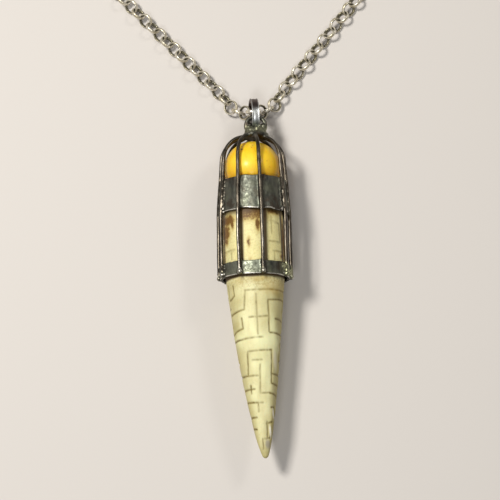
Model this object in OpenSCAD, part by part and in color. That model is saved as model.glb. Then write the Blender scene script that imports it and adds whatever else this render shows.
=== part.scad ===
// Amulet on a chain: a bead caged above a carved bone spike.
// Millimetres, +Z up, as it lies on a table. The pendant lies along Y on the legs of its cage,
// with its tip towards -Y, and the whole loop of chain lies beyond it. The middle of the
// bounding box is at X = Y = 0, and the table is Z = 0.

/* [Cage] */
// Outside radius of the lower band and of the upper band's foot
band_r = 7.05; // [6.5:0.05:7.5]
// Thickness of the bands' sheet
band_wall = 0.6; // [0.4:0.05:0.7]
// Height of the lower band
low_band_h = 2.8; // [2:0.1:4]
// Start of the upper band, from the cage's foot
up_band_at = 13.4; // [12:0.1:15]
// Height of the upper band
up_band_h = 7; // [5:0.1:8]
// Outside radius of the upper band at its top
up_band_top_r = 6.5; // [6.45:0.05:7]
// Diameter of a leg's wire
leg_d = 0.8; // [0.6:0.05:1]
// Depth to which a leg is soldered into a band
leg_seat = 0.15; // [0.1:0.05:0.3]
// Height at which the legs leave their straight run for the shoulder
shoulder_at = 25; // [24:0.1:26]
// Radius of the bend at the shoulder
shoulder_r = 5.2; // [4:0.1:6]
// Slope of the legs where they enter the crown, from the axis
shoulder_end = 75; // [60:1:85]

/* [Crown and loop] */
// Radius of the crown disc
crown_r = 2.7; // [2.2:0.1:3.2]
// Thickness of the crown disc
crown_h = 1.1; // [0.8:0.1:1.6]
// Underside of the crown disc, from the cage's foot
crown_at = 29.55; // [29.2:0.05:30]
// Sideways offset of the crown and its loop
crown_shift = 0.8; // [0:0.1:1]
// Radius of the loop, to the middle of its wire
loop_r = 2; // [1.9:0.05:2.4]
// Diameter of the loop's wire
loop_d = 0.84; // [0.6:0.02:1]
// Middle of the loop, from the cage's foot
loop_at = 32.2; // [31.8:0.1:32.6]

/* [Bead and bone] */
// Diameter of the bead
bead_d = 11.6; // [11:0.1:11.7]
// Middle of the bead, from the cage's foot
bead_at = 23; // [21.3:0.1:23.2]
// Length of the spike below the cage
spike_len = 36.1; // [30:0.1:45]
// Radius of the bone at the foot of the cage
bone_r = 5.95; // [5:0.05:6]
// Radius of the bone's upper end
bone_top_r = 5.75; // [5:0.05:5.75]
// Upper end of the bone, from the cage's foot
bone_top = 15.2; // [14:0.1:15.2]
// Fullness of the taper, lower is fuller
spike_taper = 0.63; // [0.4:0.01:1]
// Lean of the bone in its cage, in degrees
bone_lean = 2; // [0:0.1:2]

/* [Bail] */
// Outside diameter of the bail ring
bail_d = 7; // [6.8:0.1:7.4]
// Thickness of the bail's strip
bail_wall = 0.9; // [0.7:0.1:1]
// Width of the bail's strip
bail_w = 1.4; // [1:0.1:1.5]
// Angle at which the bail hangs from its loop, from straight down
bail_swing = 23.5; // [22:0.5:25]
// Lean of the bail to the side
bail_roll = 7; // [0:0.5:8]
// Turn of the bail about the vertical
bail_yaw = 2; // [0:0.5:4]

/* [Chain] */
// Outside diameter of a link
link_d = 3; // [2.8:0.05:3.2]
// Thickness of a link's strip
link_wall = 0.3; // [0.25:0.01:0.32]
// Width of a link's strip
link_w = 0.62; // [0.4:0.02:0.7]
// Distance from link to link
link_pitch = 2.2; // [2.1:0.01:2.22]
// Links on each side of the one in the bail, an odd number
arm_links = 101; // [81:2:105]
// Length of the clasp
clasp_len = 12; // [9:0.5:14]
// Width of the clasp
clasp_w = 4.6; // [4:0.1:6]
// Diameter of the clasp's wire
clasp_d = 1; // [0.8:0.1:1.2]

/* [Lay of the chain] */
// Angle between an arm of the loop and the line across the pendant
arm_angle = 48.85; // [40:0.05:60]
// Turn of the loop about the bail
loop_turn = 2.1; // [-5:0.1:5]
// Steepest slope of the chain where it comes down from the bail
drop_angle = 46.5; // [46:0.5:47]
// Distance of the chain from the bail's middle, outwards along the pendant
chain_in_bail = 0.95; // [0.9:0.01:1]
// Twist of the links beside the bail
lead_twist = -32; // [-33:1:-31]
// Largest stray of a link from its even roll, in degrees
link_stray = 3; // [0:1:3]

/* [Hidden] */

// Angles of the ten legs about the axis, from the side that lies uppermost
leg_angles = [-25, 12, 60, 93, 129, 162, 198, 235, 264, 295];
leg_ring_r = band_r + leg_d / 2 - leg_seat;
foot_r = 0.45;
band_slant = atan((band_r - up_band_top_r) / up_band_h);
// The legs end inside the crown disc, short of one another
leg_end_r = 1.4;
// A cone of solder joins the crown disc and its loop
neck_foot_r = 1.9;
neck_top_r = 1.35;
neck_h = 0.55;
shoulder_start_r = leg_ring_r - (shoulder_at - up_band_at) * tan(band_slant);
shoulder_drop_r = shoulder_r * (cos(band_slant) - cos(shoulder_end));
shoulder_turn = shoulder_end - band_slant;
slant_run = (shoulder_at - up_band_at) / cos(band_slant);
leg_tail = (shoulder_start_r - shoulder_drop_r - leg_end_r) / sin(shoulder_end);
// The pieces of a leg stop short of one another, and a knuckle joins each two
joint_short = 0.05;
knuckle_d = leg_d + 0.04;
short_turn = joint_short / shoulder_r * 180 / PI;

// The balled feet of the two legs nearest the table carry the cage
low_leg_angle = 18;
axis_h = leg_ring_r * cos(low_leg_angle) + foot_r;

// The bail hangs from the far bar of the loop with a small gap
hang_gap = 0.27;
bail_corner = 0.15;
bail_inner_r = bail_d / 2 - bail_wall;
bail_hang = bail_inner_r - loop_d / 2 - hang_gap;
bail_from_foot = loop_at + loop_r + bail_hang * sin(bail_swing);
bail_h = axis_h - bail_hang * cos(bail_swing);
bail_offset = 0.3;
bail_shift = crown_shift - bail_offset;
chain_offset = 0.12;
chain_shift = bail_shift - chain_offset;

// The chain lies on the table with its links leaning half over
corner = 0.09;
lean = 45;
top_lean = lean + link_stray;
lie_gap = 0.01;
lie_h = link_d / 2 * sin(top_lean) + (link_w / 2 - corner) * cos(top_lean) + lie_gap;

// Slope and heading of each step from the bail down to the straight run of an arm, and its slack
lead_steps = [[34, 6.5, 0.08], [drop_angle, 26.5, 0.13], [16.5, 40.5, 0.08], [11, 58.5, 0], [3.5, 53.5, 0.02]];
leads = len(lead_steps);
function hop(size, slope, heading) =
    size * [cos(slope) * cos(heading), cos(slope) * sin(heading), -sin(slope)];
function lead_hop(row) = hop(link_pitch - row[2], row[0], row[1]);
function lead_to(i) = i == 0 ? [0, 0, 0] : lead_to(i - 1) + lead_hop(lead_steps[i - 1]);
lead = lead_to(leads);

// The straight run is tangent to the round far end, and the two arms meet at the clasp
clasp_gap = 0.15;
clasp_reach = clasp_len / 2 - clasp_d + link_d / 2 - link_wall - clasp_gap;
open_len = (arm_links - leads) * link_pitch + clasp_reach;
far_turn = (180 - arm_angle) * PI / 180;
far_r = (open_len + lead.x / cos(arm_angle)) / (tan(arm_angle) + far_turn);
straight_len = (far_r * sin(arm_angle) - lead.x) / cos(arm_angle);
function heading(s) = arm_angle + max(0, s - straight_len) / far_r * 180 / PI;

// Middles of the links of one arm, from the one in the bail outwards
function arm_hop(i) = i <= leads ? lead_hop(lead_steps[i - 1])
    : hop(link_pitch, 0, heading((i - leads - 0.5) * link_pitch));
arm = [for (i = 0, p = [0, 0, 0]; i <= arm_links; p = p + arm_hop(i + 1), i = i + 1) p];
chain_h = lie_h - arm[arm_links].z;
clasp_mid = [0, arm[arm_links].y, arm[arm_links].z];

// Place of a link, counted from the bail, negative to the left, and the way that it points
function link_at(i) = i < 0 ? [-arm[-i].x, arm[-i].y, arm[-i].z] : arm[i];
function next_at(i) = abs(i) > arm_links ? clasp_mid : link_at(i);
function link_dir(i) = next_at(i + 1) - next_at(i - 1);
// The twist is full on the links in and beside the bail and is gone where the arms lie flat
twist_from = 2;
twist_to = 5;
function twist(i) = lead_twist * min(1, max(0, (twist_to - abs(i)) / (twist_to - twist_from)));
stray_turn = 137.5;
function link_roll(i) = (i % 2 == 0 ? -lean : lean) + link_stray * sin(stray_turn * i) + twist(i);

// The clasp leans until its lower side lies on the table
clasp_end_r = (clasp_w - clasp_d) / 2;
clasp_side = (clasp_len - clasp_w) / 2;
clasp_roll = asin((lie_h - clasp_d / 2) / clasp_end_r);

// The pendant and the loop are set so that the middle of their box is at X = Y = 0
chain_y = bail_from_foot + chain_in_bail;
clasp_half_y = clasp_end_r * cos(clasp_roll) + clasp_d / 2;
far_y = chain_y + (clasp_mid.y + clasp_half_y) * cos(loop_turn) + clasp_side * sin(loop_turn);
tip_y = low_band_h / 2 - (spike_len + low_band_h / 2) * cos(bone_lean);
pendant_y = -(far_y + tip_y) / 2;
loop_mid_y = max([for (p = arm) p.y]) - far_r;
pendant_x = loop_mid_y * sin(loop_turn) - chain_shift;

module lay_pendant() {
    translate([pendant_x, pendant_y, axis_h]) rotate([-90, 0, 0]) children();
}

module torus(ring_r, wire_d, angle = 360) {
    rotate_extrude(angle = angle, $fn = 72) translate([ring_r, 0]) circle(d = wire_d, $fn = 32);
}

module band(start_r, end_r, h) {
    difference() {
        cylinder(r1 = start_r, r2 = end_r, h = h, $fn = 96);
        cylinder(r1 = start_r - band_wall, r2 = end_r - band_wall, h = h, $fn = 96);
    }
}

module wire(h) {
    translate([0, 0, joint_short]) cylinder(d = leg_d, h = h - 2 * joint_short, $fn = 32);
}

module knuckle() {
    sphere(d = knuckle_d, $fn = 32);
}

// A leg, from its foot up the bands and over the shoulder to the crown
module leg() {
    translate([leg_ring_r, 0, foot_r]) {
        sphere(r = foot_r, $fn = 32);
        wire(up_band_at - foot_r);
    }
    translate([leg_ring_r, 0, up_band_at]) {
        knuckle();
        rotate([0, -band_slant, 0]) wire(slant_run);
    }
    translate([shoulder_start_r, 0, shoulder_at]) rotate([0, -band_slant, 0]) {
        knuckle();
        translate([-shoulder_r, 0, 0]) {
            rotate([90, 0, 0]) rotate([0, 0, short_turn])
                torus(shoulder_r, leg_d, shoulder_turn - 2 * short_turn);
            rotate([0, -shoulder_turn, 0]) translate([shoulder_r, 0, 0]) {
                knuckle();
                wire(leg_tail);
            }
        }
    }
}

module crown() {
    translate([crown_shift, 0, crown_at]) {
        cylinder(r = crown_r, h = crown_h, $fn = 64);
        translate([0, 0, crown_h]) cylinder(r1 = neck_foot_r, r2 = neck_top_r, h = neck_h, $fn = 64);
    }
    translate([crown_shift, 0, loop_at]) rotate([90, 0, 0]) torus(loop_r, loop_d);
}

module cage() {
    color("dimgray") lay_pendant() {
        band(band_r, band_r, low_band_h);
        translate([0, 0, up_band_at]) band(band_r, up_band_top_r, up_band_h);
        for (a = leg_angles) rotate([0, 0, a - 90]) leg();
        crown();
    }
}

// Outline of the bone: the taper below the cage, then the straight root inside it
function taper_r(t) = bone_r * pow(1 - t, spike_taper);
taper_rows = 14;
bone_chamfer = 0.4;
bone_outline = concat(
    [for (i = [0:taper_rows]) let(t = 1 - pow(i / taper_rows, 2)) [taper_r(t), -spike_len * t]],
    [[bone_top_r, bone_top - bone_chamfer], [bone_top_r - bone_chamfer, bone_top], [0, bone_top]]
);

module bone_spike() {
    pivot = low_band_h / 2;
    color("wheat") lay_pendant() translate([0, 0, pivot]) rotate([0, -bone_lean, 0])
        translate([0, 0, -pivot]) rotate_extrude($fn = 64) polygon(bone_outline);
}

module bead() {
    color("gold") lay_pendant() translate([0, 0, bead_at]) sphere(d = bead_d, $fn = 64);
}

// A ring of flat strip with its corners taken off
module strip_ring(outer_d, wall, width, cut) {
    outer_r = outer_d / 2;
    inner_r = outer_r - wall;
    half = width / 2;
    rotate_extrude($fn = 48) polygon([
        [inner_r, cut - half], [inner_r + cut, -half], [outer_r - cut, -half], [outer_r, cut - half],
        [outer_r, half - cut], [outer_r - cut, half], [inner_r + cut, half], [inner_r, half - cut]
    ]);
}

module bail() {
    color("slategray") translate([pendant_x + bail_shift, pendant_y + bail_from_foot, bail_h])
        rotate([0, 90 + bail_roll, bail_yaw]) strip_ring(bail_d, bail_wall, bail_w, bail_corner);
}

module lay_loop() {
    translate([pendant_x + chain_shift, pendant_y + chain_y, chain_h])
        rotate([0, 0, loop_turn]) children();
}

module link(i) {
    way = link_dir(i);
    translate(link_at(i)) rotate([link_roll(i), -asin(way.z / norm(way)), atan2(way.y, way.x)])
        strip_ring(link_d, link_wall, link_w, corner);
}

module chain_left() {
    color("lightgray") lay_loop() for (i = [-arm_links:-1]) link(i);
}

module chain_right() {
    color("silver") lay_loop() for (i = [0:arm_links]) link(i);
}

// A plain long ring that closes the chain at its far end
module clasp() {
    color("silver") lay_loop() translate(clasp_mid) rotate([clasp_roll, 0, 0]) {
        for (turn = [0, 180]) rotate([0, 0, turn]) {
            translate([clasp_side, 0, 0]) rotate([0, 0, -90]) torus(clasp_end_r, clasp_d, 180);
            translate([-clasp_side, clasp_end_r, 0]) rotate([0, 90, 0])
                cylinder(d = clasp_d, h = 2 * clasp_side, $fn = 32);
        }
    }
}

cage();
bone_spike();
bead();
bail();
chain_left();
chain_right();
clasp();
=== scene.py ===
import math
import bmesh
import bpy
import numpy as np
from mathutils import Matrix, Vector, noise
from types import SimpleNamespace


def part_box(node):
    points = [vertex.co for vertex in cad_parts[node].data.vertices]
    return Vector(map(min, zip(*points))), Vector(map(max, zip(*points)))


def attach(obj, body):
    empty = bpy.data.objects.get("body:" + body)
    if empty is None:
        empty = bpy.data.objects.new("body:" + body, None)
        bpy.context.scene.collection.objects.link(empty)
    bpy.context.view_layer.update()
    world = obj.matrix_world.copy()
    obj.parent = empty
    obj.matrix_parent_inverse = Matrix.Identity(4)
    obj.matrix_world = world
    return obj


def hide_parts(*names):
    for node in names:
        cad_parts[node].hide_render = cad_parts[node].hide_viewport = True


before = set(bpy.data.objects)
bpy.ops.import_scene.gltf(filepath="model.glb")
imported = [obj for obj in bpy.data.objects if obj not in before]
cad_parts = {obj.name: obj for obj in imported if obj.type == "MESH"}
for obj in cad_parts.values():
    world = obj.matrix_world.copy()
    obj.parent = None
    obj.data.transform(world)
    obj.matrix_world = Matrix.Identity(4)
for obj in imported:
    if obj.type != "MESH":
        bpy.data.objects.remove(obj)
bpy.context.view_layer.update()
mm = 0.001

# The pendant lies along Y. Its axis runs through the bead, and heights start at the cage's foot.
beadLow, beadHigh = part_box("bead")
axisX = (beadLow.x + beadHigh.x) / 2
axisZ = (beadLow.z + beadHigh.z) / 2
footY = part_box("cage")[0].y
spikeLength = (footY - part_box("bone_spike")[0].y) / mm


def onAxis(radius, angle, height):
    # millimetres from the axis and the foot, the angle from the side that lies uppermost
    turn, reach = math.radians(angle), radius * mm
    return Vector((axisX + reach * math.sin(turn), footY + height * mm, axisZ + reach * math.cos(turn)))


# small helpers for node trees and meshes

def addNode(tree, kind, inputs=None, **settings):
    made = tree.nodes.new(kind)
    for name, value in settings.items():
        setattr(made, name, value)
    for key, value in (inputs or {}).items():
        if isinstance(value, bpy.types.NodeSocket):
            tree.links.new(value, made.inputs[key])
        else:
            made.inputs[key].default_value = value
    return made.outputs


def mathOn(kind, first, second):
    # in the tree that the first socket lies in
    return addNode(first.id_data, "ShaderNodeMath", {0: first, 1: second}, operation=kind)[0]


def scaled(value, factor):
    return mathOn("MULTIPLY", value, factor)


def newShapeTree(name, sizes):
    def socket(label, kind, way="INPUT"):
        return tree.interface.new_socket(label, in_out=way, socket_type="NodeSocket" + kind)

    tree = bpy.data.node_groups.new(name, "GeometryNodeTree")
    socket("Geometry", "Geometry")
    socket("Geometry", "Geometry", "OUTPUT")
    for label, value in sizes.items():
        socket(label, "Int" if isinstance(value, int) else "Float").default_value = value
    socket("Finish", "Material")
    return tree, addNode(tree, "NodeGroupInput")


def endShapeTree(tree, geometry, finish):
    real = addNode(tree, "GeometryNodeRealizeInstances", {"Geometry": geometry})
    painted = addNode(tree, "GeometryNodeSetMaterial", {"Geometry": real[0], "Material": finish})
    addNode(tree, "NodeGroupOutput", {"Geometry": painted[0]})


def growPiece(base, tree, values, name):
    # runs a shape tree and keeps the result as a plain mesh
    growth = base.modifiers.new(tree.name, "NODES")
    growth.node_group = tree
    for item in tree.interface.items_tree:
        if item.name in values:
            growth[item.identifier] = values[item.name]
    return newPiece(evaluatedMesh(base), name)


def evaluatedMesh(base):
    graph = bpy.context.evaluated_depsgraph_get()
    mesh = bpy.data.meshes.new_from_object(base.evaluated_get(graph), depsgraph=graph)
    base.modifiers.clear()
    bpy.data.objects.remove(base)
    return mesh


def newPiece(data, name):
    data.name = name
    piece = bpy.data.objects.new(name, data)
    bpy.context.scene.collection.objects.link(piece)
    return piece


def finishPiece(mesh, finish, name):
    mesh.materials.clear()
    mesh.materials.append(finish)
    mesh.shade_smooth()
    return newPiece(mesh, name)


def meshFrom(points, faces, name):
    mesh = bpy.data.meshes.new(name)
    mesh.from_pydata([tuple(p) for p in points], [], faces)
    mesh.update()
    return mesh


def ringFaces(columns, size, closed=True):
    # quads between the sections of a ring, each of so many points
    faces = []
    for column in range(columns):
        here, there = column * size, (column + 1) % columns * size
        for row in range(size if closed else size - 1):
            after = (row + 1) % size
            faces.append((here + row, there + row, there + after, here + after))
    return faces


def faceOutward(mesh):
    form = bmesh.new()
    form.from_mesh(mesh)
    bmesh.ops.recalc_face_normals(form, faces=form.faces)
    form.to_mesh(mesh)
    form.free()


def storeValues(mesh, name, values):
    layer = mesh.attributes.new(name, "FLOAT", "POINT")
    layer.data.foreach_set("value", np.asarray(values, np.float32))


def readRows(items, name, width, kind=np.float32):
    flat = np.empty(len(items) * width, kind)
    items.foreach_get(name, flat)
    return flat.reshape(-1, width)


def readPoints(mesh):
    return readRows(mesh.vertices, "co", 3).astype(float)


def writePoints(mesh, points):
    mesh.vertices.foreach_set("co", np.asarray(points, np.float32).ravel())
    mesh.update()


def roughness(points, scale, seed, octaves=3):
    # smooth noise from about -1 to 1 at each point, scale is the size of its features
    shift = Vector((seed * 7.3, seed * 3.1, seed * 5.7))
    return np.array([noise.fractal(Vector(p) / scale + shift, 0.9, 2.0, octaves) for p in points])


def ramp(low, high, value):
    t = np.clip((value - low) / (high - low), 0, 1)
    return t * t * (3 - 2 * t)


def plateau(low, full, last, end, value):
    # 0 up to low, 1 from full to last and 0 again from end
    return ramp(low, full, value) * (1 - ramp(last, end, value))


def fromAngle(turn, angle=0):
    return (turn - angle + 180) % 360 - 180  # from -180 to 180 degrees


def ringsOf(node):
    # middle and axis of every loose ring in a CAD node, from a merged copy
    form = bmesh.new()
    form.from_mesh(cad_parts[node].data)
    bmesh.ops.remove_doubles(form, verts=form.verts, dist=1e-6)
    seen, rings = set(), []
    for start in form.verts:
        if start in seen:
            continue
        seen.add(start)
        stack, found = [start], []
        while stack:
            vert = stack.pop()
            found.append(vert.co)
            for edge in vert.link_edges:
                other = edge.other_vert(vert)
                if other not in seen:
                    seen.add(other)
                    stack.append(other)
        middle = np.mean(found, 0)
        rings.append((middle, np.linalg.svd(np.array(found) - middle, full_matrices=False)[2][2]))
    form.free()
    return rings


# finishes, each with a dictionary of its colours

def newFinish(name, fixed):
    finish = bpy.data.materials.new(name)
    finish.use_nodes = True
    tree = finish.node_tree
    shader = tree.nodes["Principled BSDF"]
    for socket, value in fixed.items():
        shader.inputs[socket].default_value = value
    return finish, shader, addNode(tree, "ShaderNodeTexCoord")["Object"]


def noiseOn(place, scale, detail=3.0, rough=0.55, stretch=(1, 1, 1)):
    mapped = addNode(place.id_data, "ShaderNodeMapping", {"Vector": place, "Scale": stretch})[0]
    values = {"Vector": mapped, "Scale": scale, "Detail": detail, "Roughness": rough}
    return addNode(place.id_data, "ShaderNodeTexNoise", values)["Fac"]


def mixColour(factor, first, second):
    # a colour is a socket or three numbers
    first, second = (c if isinstance(c, bpy.types.NodeSocket) else (*c, 1) for c in (first, second))
    return addNode(factor.id_data, "ShaderNodeMix", {0: factor, 6: first, 7: second}, data_type="RGBA")[2]


def rangeOf(value, low, high, start=0.0, end=1.0):
    values = {"Value": value, "From Min": low, "From Max": high, "To Min": start, "To Max": end}
    return addNode(value.id_data, "ShaderNodeMapRange", values)[0]


def markOf(shader, name, strength=1.0):
    mark = addNode(shader.id_data, "ShaderNodeAttribute", attribute_name=name)["Fac"]
    return mark if strength == 1.0 else scaled(mark, strength)


def feed(shader, name, value):
    shader.id_data.links.new(value, shader.inputs[name])


def bumpOn(shader, height, distance, strength):
    values = {"Height": height, "Distance": distance, "Strength": strength}
    feed(shader, "Normal", addNode(height.id_data, "ShaderNodeBump", values)[0])


def layColours(shader, body, layers, tones):
    for name, factor in layers.items():
        body = mixColour(factor, body, tones[name])
    feed(shader, "Base Color", body)


silverTones = {
    "wires": ((0.037, 0.032, 0.0245), (0.14, 0.1205, 0.094)),
    "sheet": ((0.05, 0.052, 0.046), (0.17, 0.17, 0.14)), "green": (0.19, 0.2, 0.135),
    # the lit sheet colours are painted sheen
    "litSheet": ((0.1, 0.107, 0.08), (0.355, 0.385, 0.3)), "brown": (0.075, 0.052, 0.036),
    # worn metal with painted highlight, and painted shade nearly black
    "solder": (0.5, 0.51, 0.31), "wornAndHighlight": (0.82, 0.785, 0.71), "paintedShade": (0.02, 0.016, 0.012),
    "wireRoughness": 0.34, "sheetRoughness": (0.56, 0.42), "wireRelief": 0.15, "sheetRelief": 0.8,
}


def oxidisedSilver():
    tones = silverTones
    finish, shader, place = newFinish("oxidisedSilver", {"Metallic": 1.0})
    cloud = noiseOn(place, 420, 4)
    blotch = noiseOn(place, 1500, 5, 0.7)
    streak = noiseOn(place, 800, 4, 0.6, (1, 0.22, 1))
    panel = markOf(shader, "panel")
    body = mixColour(rangeOf(cloud, 0.35, 0.7), *tones["wires"])
    dark = mixColour(rangeOf(streak, 0.35, 0.66), *tones["sheet"])
    dark = mixColour(rangeOf(cloud, 0.5, 0.64, 0.0, 0.4), dark, tones["green"])
    dark = mixColour(rangeOf(cloud, 0.46, 0.38, 0.0, 0.6), dark, tones["brown"])
    # a lit copy of the sheet colour, laid over the panels as painted sheen
    pale = mixColour(rangeOf(blotch, 0.38, 0.62), *tones["litSheet"])
    body = mixColour(panel, body, mixColour(markOf(shader, "light"), dark, pale))
    # worn metal with painted highlight, broken up by blotches
    wearAndHighlight = mathOn("ADD", markOf(shader, "wearAndHighlight"), scaled(blotch, 0.3))
    patch = scaled(markOf(shader, "solder"), rangeOf(blotch, 0.38, 0.6, 0.25, 1.0))
    # painted shade is the darkest layer
    layers = {"solder": patch, "wornAndHighlight": rangeOf(wearAndHighlight, 0.55, 1.05), "paintedShade": markOf(shader, "paintedShade")}
    layColours(shader, body, layers, tones)
    sheetRough = rangeOf(blotch, 0.35, 0.65, *tones["sheetRoughness"])
    feed(shader, "Roughness", rangeOf(panel, 0.0, 1.0, tones["wireRoughness"], sheetRough))
    grain = mathOn("ADD", scaled(streak, 0.4), scaled(blotch, 0.6))
    relief = rangeOf(panel, 0.0, 1.0, tones["wireRelief"], tones["sheetRelief"])
    bumpOn(shader, grain, 0.05 * mm, relief)
    return finish


# the inside colour is painted shade on the links' inner faces
chainTones = {"body": ((0.52, 0.465, 0.33), (0.9, 0.85, 0.74)), "inside": (0.09, 0.08, 0.04)}


def antiqueSilver():
    finish, shader, place = newFinish("antiqueSilver", {"Metallic": 0.75})
    cloud = noiseOn(place, 600, 3)
    body = mixColour(rangeOf(cloud, 0.35, 0.7), *chainTones["body"])
    # painted shade on the links' inner faces
    layColours(shader, body, {"inside": markOf(shader, "inside", 0.85)}, chainTones)
    feed(shader, "Roughness", rangeOf(cloud, 0.3, 0.7, 0.4, 0.28))
    bumpOn(shader, cloud, 0.04 * mm, 0.5)
    return finish


# painted shade at the far end and painted highlight across the strip use the last two colours
steelTones = {"body": ((0.2, 0.215, 0.215), (0.42, 0.45, 0.45)), "dusk": (0.075, 0.045, 0.034),
              "wearAndHighlight": (0.8, 0.82, 0.8)}


def polishedSteel():
    finish, shader, place = newFinish("polishedSteel", {"Metallic": 1.0, "Roughness": 0.38})
    cloud = noiseOn(place, 500, 4)
    body = mixColour(rangeOf(cloud, 0.38, 0.66), *steelTones["body"])
    # painted shade towards the far end and painted highlight across the strip
    layColours(shader, body, {mark: markOf(shader, mark) for mark in ("dusk", "wearAndHighlight")}, steelTones)
    bumpOn(shader, cloud, 0.04 * mm, 0.4)
    return finish


boneTones = {
    "body": ((0.62, 0.57, 0.29), (0.79, 0.765, 0.45)), "grain": (0.42, 0.34, 0.16),
    # one of these colours darkens the flanks as painted shade
    "speck": (0.4, 0.34, 0.16), "limbShadeAndTint": (0.37, 0.31, 0.11), "pale": (0.9, 0.92, 0.55),
    # one of these colours brightens the root, partly as painted light
    "rootPaleAndLit": (0.9, 0.8, 0.34), "freckle": (0.32, 0.22, 0.06), "groove": (0.19, 0.14, 0.033),
    "stain": (0.46, 0.32, 0.08), "brown": (0.16, 0.078, 0.014), "shade": (0.075, 0.034, 0.007),
    "chip": (0.84, 0.8, 0.66), "dull": (0.3, 0.27, 0.22),
}


def carvedBone():
    finish, shader, place = newFinish("carvedBone", {
        "Roughness": 0.55, "Specular IOR Level": 0.35, "Subsurface Weight": 0.12,
        "Subsurface Radius": (0.9, 0.6, 0.3), "Subsurface Scale": 1.0 * mm})
    grain = noiseOn(place, 900, 4, 0.6, (1, 0.12, 1))
    cloud = noiseOn(place, 160, 3)
    speck = noiseOn(place, 2400, 3, 0.7)
    stain = markOf(shader, "stain")
    brown = mathOn("ADD", stain, scaled(speck, 0.9))
    # among these layers are painted shade on the flanks and under the bands and wires, and painted light on
    # the root
    layers = {  # from the bone's own grain up to its chips
        "grain": rangeOf(grain, 0.45, 0.75, 0.0, 0.35),
        "speck": rangeOf(speck, 0.52, 0.75, 0.0, 0.3), "limbShadeAndTint": markOf(shader, "limbShadeAndTint"),
        "pale": markOf(shader, "pale"), "rootPaleAndLit": markOf(shader, "rootPaleAndLit", 0.38),
        "freckle": scaled(markOf(shader, "freckle"), rangeOf(speck, 0.46, 0.62)),
        "groove": markOf(shader, "groove", 0.88), "stain": rangeOf(stain, 0.03, 0.5, 0.0, 0.85),
        "brown": rangeOf(brown, 0.85, 1.15), "shade": markOf(shader, "shade", 0.96),
        "chip": markOf(shader, "chip"), "dull": markOf(shader, "dull"),
    }
    body = mixColour(rangeOf(cloud, 0.3, 0.7), *boneTones["body"])
    layColours(shader, body, layers, boneTones)
    bumpOn(shader, grain, 0.06 * mm, 0.5)
    return finish


# the deep colour is laid as painted shade away from a painted glow
amberTones = {"body": ((0.86, 0.53, 0.01), (0.95, 0.71, 0.06)), "deep": (0.6, 0.26, 0.01),
              "fleck": (0.4, 0.17, 0.02), "pit": (0.3, 0.1, 0.01)}


def goldenAmber():
    finish, shader, place = newFinish("goldenAmber", {
        "Roughness": 0.42, "Specular IOR Level": 0.22, "Coat Weight": 0.13, "Coat Roughness": 0.18,
        "Subsurface Weight": 0.35, "Subsurface Radius": (1.0, 0.45, 0.1), "Subsurface Scale": 1.5 * mm})
    cloud = noiseOn(place, 220, 3)
    fleck = noiseOn(place, 1100, 2)
    body = mixColour(rangeOf(cloud, 0.35, 0.7), *amberTones["body"])
    depth = mathOn("ADD", markOf(shader, "deep"), scaled(mathOn("SUBTRACT", cloud, 0.5), 0.8))
    # deeper orange as painted shade away from a painted glow and on the underside
    layers = {"deep": rangeOf(depth, 0.35, 1.05), "fleck": rangeOf(fleck, 0.66, 0.74, 0.0, 0.6),
              "pit": markOf(shader, "speck")}
    layColours(shader, body, layers, amberTones)
    return finish


silverDark = oxidisedSilver()
silverWarm = antiqueSilver()
steelFinish = polishedSteel()
boneFinish = carvedBone()
amberFinish = goldenAmber()
print("finishes ready")

# chain: flat round links, one on each of the CAD chain's places

link = {"Diameter": 3.12 * mm, "Thickness": 0.4 * mm, "Width": 0.7 * mm, "Rounding": 0.14 * mm,
        "Segments": 20}


def linkTree():
    # a ring of flat strip on every point, turned to the point's own axis
    tree, given = newShapeTree("stripRing", link)
    radius = scaled(mathOn("SUBTRACT", given["Diameter"], given["Thickness"]), 0.5)
    circle = addNode(tree, "GeometryNodeCurvePrimitiveCircle", {
        "Resolution": given["Segments"], "Radius": radius})
    strip = addNode(tree, "GeometryNodeCurvePrimitiveQuadrilateral", {
        "Width": given["Thickness"], "Height": given["Width"]})
    rounded = addNode(tree, "GeometryNodeFilletCurve", {
        "Curve": strip[0], "Radius": given["Rounding"]}, mode="POLY")
    ring = addNode(tree, "GeometryNodeCurveToMesh", {"Curve": circle[0], "Profile Curve": rounded[0]})
    smooth = addNode(tree, "GeometryNodeSetShadeSmooth", {"Geometry": ring[0]})
    position = addNode(tree, "GeometryNodeInputPosition")[0]
    flat = addNode(tree, "ShaderNodeVectorMath", {0: position, 1: (1, 1, 0)}, operation="MULTIPLY")
    reach = addNode(tree, "ShaderNodeVectorMath", {0: flat[0]}, operation="LENGTH")
    # the inner faces, which the finish darkens as painted shade
    inner = mathOn("LESS_THAN", reach["Value"], radius)
    marked = addNode(tree, "GeometryNodeStoreNamedAttribute", {
        "Geometry": smooth[0], "Name": "inside", "Value": inner}, domain="POINT")
    axis = addNode(tree, "GeometryNodeInputNamedAttribute", {"Name": "axis"}, data_type="FLOAT_VECTOR")
    turned = addNode(tree, "FunctionNodeAlignRotationToVector", {"Vector": axis[0]}, axis="Z")
    placed = addNode(tree, "GeometryNodeInstanceOnPoints", {
        "Points": given["Geometry"], "Instance": marked[0], "Rotation": turned[0]})
    endShapeTree(tree, placed[0], given["Finish"])
    return tree


def growLinks(rings, tree, name):
    points = meshFrom([middle for middle, axis in rings], [], name + "Places")
    layer = points.attributes.new("axis", "FLOAT_VECTOR", "POINT")
    layer.data.foreach_set("vector", np.array([axis for middle, axis in rings], np.float32).ravel())
    piece = growPiece(newPiece(points, name + "Base"), tree, {**link, "Finish": silverWarm}, name)
    places = readPoints(piece.data)
    places[:, 2] = np.maximum(places[:, 2], 0)  # flat where a link rests on the floor
    writePoints(piece.data, places)
    return piece


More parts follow.
